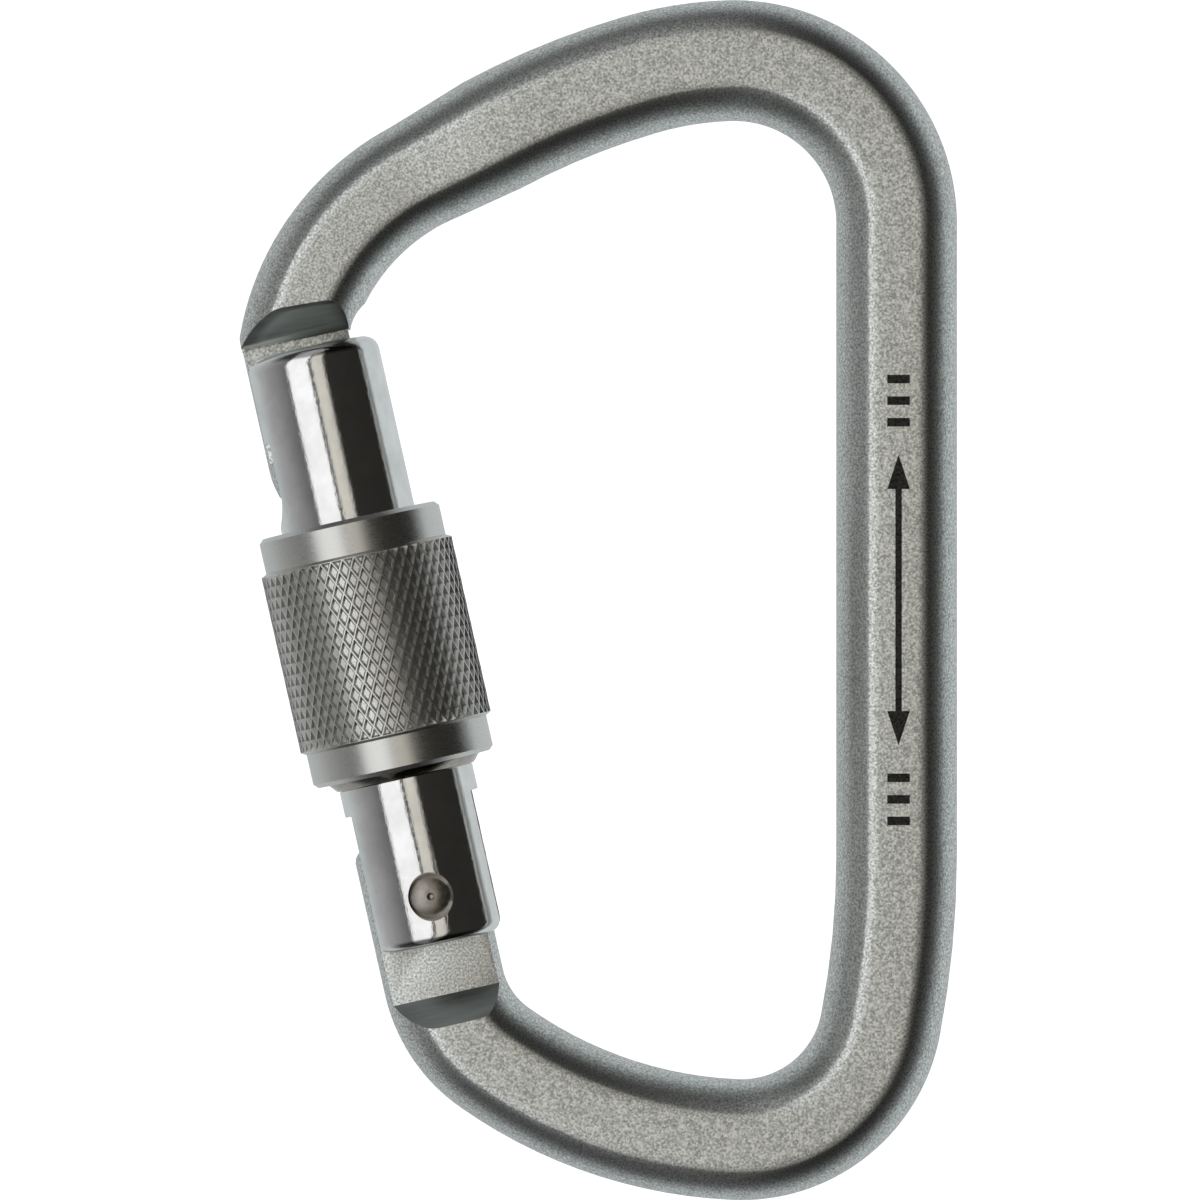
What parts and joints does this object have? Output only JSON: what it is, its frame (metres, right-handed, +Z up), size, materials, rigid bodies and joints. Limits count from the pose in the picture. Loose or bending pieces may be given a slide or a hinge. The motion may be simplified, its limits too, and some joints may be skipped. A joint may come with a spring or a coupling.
{
  "type": "locking carabiner",
  "caption": "D-shaped steel carabiner with a hinged tube gate and a knurled screw sleeve that locks over the T-slot nose.",
  "frame": {"origin": "middle of the whole object's box", "axes": "+Z up along the straight spine towards the wide end, +X from the gate towards the spine, Y front to back through the loop, with the front at -Y"},
  "size_m": [0.0671, 0.0182, 0.112],
  "materials": {
    "blasted_steel": "bead-blasted and plated, satin",
    "polished_steel": "polished and plated",
    "satin_steel": "satin turned, knurled",
    "dark_steel": "dark oiled steel",
    "spring_wire": "drawn spring wire"
  },
  "bodies": {
    "frame": {"frame": "blasted_steel"},
    "gate": {"gate_tube": "polished_steel", "hinge_rivet": "dark_steel", "gate_spring": "spring_wire"},
    "plunger": {"spring_plunger": "dark_steel"},
    "ring": {"retaining_ring": "dark_steel"},
    "sleeve": {"screw_sleeve": "satin_steel"}
  },
  "joints": [
    {"name": "gate_swing", "type": "hinge", "parent": "frame", "child": "gate", "pos_m": [-0.01569, 0, -0.02749], "axis": [0, 1, 0], "range_deg": [0, 25], "stiffness_Nm_per_rad": 0.03, "springref_deg": -143.24},
    {"name": "plunger_slide", "type": "slide", "parent": "gate", "child": "plunger", "axis": [-0.2184, 0, 0.9759], "range_m": [0, 0.00098], "deforming": ["gate_spring"]},
    {"name": "ring_slide", "type": "slide", "parent": "gate", "child": "ring", "axis": [-0.2184, 0, 0.9759], "range_m": [0, 0.01501]},
    {"name": "sleeve_turn", "type": "hinge", "parent": "ring", "child": "sleeve", "pos_m": [-0.01833, 0, -0.01568], "axis": [-0.2184, 0, 0.9759], "range_deg": [0, 2160]}
  ],
  "couplings": [
    {"joint": "plunger_slide", "follows": "gate_swing", "m_per_rad": 0.0022},
    {"joint": "ring_slide", "follows": "sleeve_turn", "m_per_rad": 0.00039789}
  ]
}
